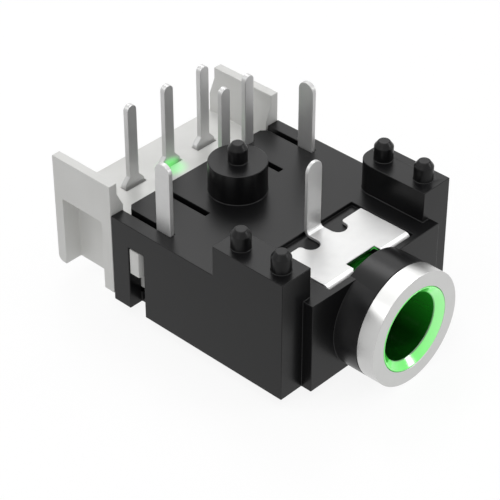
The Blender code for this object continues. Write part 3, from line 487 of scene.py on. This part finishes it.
pinSlots = {"across": (-2.5, 0, 2.5), "back": 13.03, "up": 4.1, "size": (1.36 * mm, 0.14 * mm, 0.9 * mm)}


def openPinSlots(obj):
    # the holder's three slots are a little wider in front of the terminals' feet
    for across in pinSlots["across"]:
        deselectAll()
        place = toWorld((across, pinSlots["back"], pinSlots["up"]))
        bpy.ops.mesh.primitive_cube_add(size=1, location=place)
        cutter = bpy.context.object
        cutter.scale = pinSlots["size"]
        pick(obj)
        slot = obj.modifiers.new("slot", "BOOLEAN")
        slot.operation = "DIFFERENCE"
        slot.solver = "EXACT"
        slot.object = cutter
        bpy.ops.object.modifier_apply(modifier="slot")
        bpy.data.objects.remove(cutter, do_unlink=True)
    pick(obj)


clean = {"mergeWithin": 0.0005 * mm, "flatWithin": 0.5, "faceWeight": 100}


def softenedCopy(node, material, edge, slot, body, segments=2, sharpest=35):
    # the CAD triangles are merged into flat faces before the edges are rounded. The edge's width is
    # in millimetres, and what turns by more than sharpest, in degrees, is an edge
    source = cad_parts[node]
    copy = source.copy()
    copy.data = source.data.copy()
    copy.name = node + "_finished"
    copy.parent = None
    for key in list(copy.keys()):  # what marks the source as a CAD node
        del copy[key]
    bpy.context.scene.collection.objects.link(copy)
    pick(copy)
    bpy.ops.object.mode_set(mode="EDIT")
    bpy.ops.mesh.select_all(action="SELECT")
    bpy.ops.mesh.remove_doubles(threshold=clean["mergeWithin"])
    bpy.ops.mesh.dissolve_limited(angle_limit=math.radians(clean["flatWithin"]))
    bpy.ops.object.mode_set(mode="OBJECT")
    if node == "front_ring":
        sharpenRing(copy.data)
    if node == "switch_holder":
        openPinSlots(copy)
    bpy.ops.object.shade_smooth_by_angle(angle=math.radians(sharpest))
    bevel = copy.modifiers.new("softEdges", "BEVEL")
    bevel.width = edge * mm
    bevel.segments = segments
    bevel.limit_method = "ANGLE"
    bevel.angle_limit = math.radians(sharpest)
    bevel.use_clamp_overlap = False
    bevel.miter_outer = "MITER_ARC"
    bpy.ops.object.modifier_apply(modifier="softEdges")
    even = copy.modifiers.new("evenShading", "WEIGHTED_NORMAL")
    even.weight = clean["faceWeight"]
    even.keep_sharp = True
    bpy.ops.object.modifier_apply(modifier="evenShading")
    copy.data.materials.clear()
    copy.data.materials.append(material)
    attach(copy, body)
    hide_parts(node)
    return copy


for node, piece in pieces.items():
    made = softenedCopy(node, **piece)
    print("finished", made.name, len(made.data.polygons), "faces")


# stage, light and camera

paperBoard = {
    "half": 0.6,
    "below": 0.02 * mm,  # just under the part, so that the two faces don't fight
    "albedo": "#f4f4f4",
    "glow": 1.04,
    "glowShare": 0.86,  # the rest is lit, and keeps the part's soft shadow
}


def seesBackground(tree):
    # 1 for the rays that show the background: the camera's, mirrored ones and those through glass
    path = addNode(tree, "ShaderNodeLightPath")
    total = path.outputs["Is Camera Ray"]
    for kind in ("Is Glossy Ray", "Is Transmission Ray"):
        either = addNode(tree, "ShaderNodeMath", {"operation": "MAXIMUM"}, {0: total, 1: path.outputs[kind]})
        total = either.outputs["Value"]
    return total


def studioFloor():
    # a pale board, clear to the light that fills the shadows: what it would send up to shaded
    # faces is the world's lower half
    deselectAll()
    bpy.ops.mesh.primitive_plane_add(size=2 * paperBoard["half"], location=(0, 0, -paperBoard["below"]))
    floor = bpy.context.object
    floor.name = "floor"
    material = bpy.data.materials.new("matPaperBoard")
    material.use_nodes = True
    tree = material.node_tree
    tree.nodes.clear()
    paper = addNode(tree, "ShaderNodeBsdfDiffuse", values={"Color": linear(paperBoard["albedo"])})
    glow = addNode(tree, "ShaderNodeEmission", values={"Color": (1, 1, 1, 1), "Strength": paperBoard["glow"]})
    board = addNode(tree, "ShaderNodeMixShader", values={"Fac": paperBoard["glowShare"]},
                    links={1: paper.outputs["BSDF"], 2: glow.outputs["Emission"]})
    clear = addNode(tree, "ShaderNodeBsdfTransparent")
    shown = addNode(tree, "ShaderNodeMixShader",
                    links={"Fac": seesBackground(tree), 1: clear.outputs["BSDF"], 2: board.outputs["Shader"]})
    addNode(tree, "ShaderNodeOutputMaterial", links={"Surface": shown.outputs["Shader"]})
    floor.data.materials.append(material)


# the light that fills the shadows, by height from straight down (-1) over the horizon (0) to
# straight up (1): a lit board below and dimmer walls, while the soft boxes light it from above
room = [(-1.0, 0.67), (-0.1, 0.64), (0.08, 0.22), (0.4, 0.2), (0.6, 0.06), (1.0, 0.04)]


def studioWorld():
    # white where it is seen or mirrored, and the room's levels where it only fills the shadows
    world = bpy.data.worlds.new("studioWorld")
    bpy.context.scene.world = world
    world.use_nodes = True
    tree = world.node_tree
    tree.nodes.clear()
    direction = addNode(tree, "ShaderNodeTexCoord").outputs["Generated"]
    height = addNode(tree, "ShaderNodeSeparateXYZ", links={"Vector": direction}).outputs["Z"]
    place = addNode(tree, "ShaderNodeMapRange", links={"Value": height}, values={"From Min": -1.0})
    ramp = addNode(tree, "ShaderNodeValToRGB", links={"Fac": place.outputs["Result"]})
    while len(ramp.color_ramp.elements) < len(room):
        ramp.color_ramp.elements.new(0.5)  # anywhere: the next lines place them all
    for element, (at, level) in zip(ramp.color_ramp.elements, room):
        element.position = (at + 1) / 2
        element.color = (level, level, level, 1)
    fill = addNode(tree, "ShaderNodeBackground", links={"Color": ramp.outputs["Color"]})
    white = addNode(tree, "ShaderNodeBackground", values={"Color": (1, 1, 1, 1), "Strength": 1.0})
    shown = addNode(tree, "ShaderNodeMixShader",
                    links={"Fac": seesBackground(tree), 1: fill.outputs["Background"],
                           2: white.outputs["Background"]})
    addNode(tree, "ShaderNodeOutputWorld", links={"Surface": shown.outputs["Shader"]})


# bearing from +Y towards +X and height above the floor, in degrees; all stand equally far off
lampDistance = 0.3
lamps = {
    "backPanel": {"bearing": 34, "height": 53, "size": (0.09, 0.09), "level": 4.9},
    "glowPanel": {"bearing": 46, "height": 37, "size": (0.15, 0.15), "level": 0.9},
    "sidePanel": {"bearing": -48, "height": 36, "size": (0.09, 0.09), "level": 3.4},
    "frontPanel": {"bearing": 139, "height": 22, "size": (0.1, 0.035), "level": 9.0},
    "topPanel": {"bearing": 180, "height": 84, "size": (0.44, 0.44), "level": 1.2},
    "leftPanel": {"bearing": -98, "height": 25, "size": (0.2, 0.2), "level": 0.6},
}


def addLamp(name, lamp):
    # a soft box: level is how bright its face is, where 1 is white
    bearing, height = math.radians(lamp["bearing"]), math.radians(lamp["height"])
    flat = math.cos(height)
    towards = Vector((math.sin(bearing) * flat, math.cos(bearing) * flat, math.sin(height)))
    data = bpy.data.lights.new(name, "AREA")
    data.shape = "RECTANGLE"
    data.size, data.size_y = lamp["size"]
    data.energy = lamp["level"] * math.pi * data.size * data.size_y
    box = bpy.data.objects.new(name, data)
    box.location = towards * lampDistance
    box.rotation_euler = (-towards).to_track_quat("-Z", "Y").to_euler()
    bpy.context.scene.collection.objects.link(box)


# solved from the photograph: place in the drawing's millimetres, aim and lens
shot = {
    "at": (-57.187, -46.704, 59.839),
    "aim": (0.58359, 0.55399, -0.59373),
    "lens": 141.853,
    "sensor": 36,
    "sees": (0.005, 5),  # nearest and farthest, in metres
}


def addCamera():
    data = bpy.data.cameras.new("photoCamera")
    data.sensor_width = shot["sensor"]
    data.lens = shot["lens"]
    data.clip_start, data.clip_end = shot["sees"]
    camera = bpy.data.objects.new("photoCamera", data)
    camera.location = toWorld(shot["at"])
    camera.rotation_euler = Vector(shot["aim"]).to_track_quat("-Z", "Y").to_euler()
    bpy.context.scene.collection.objects.link(camera)
    bpy.context.scene.camera = camera


studioFloor()
studioWorld()
for name, lamp in lamps.items():
    addLamp(name, lamp)
addCamera()
bpy.context.scene.view_settings.view_transform = "Standard"
print("stage, lamps and camera set")
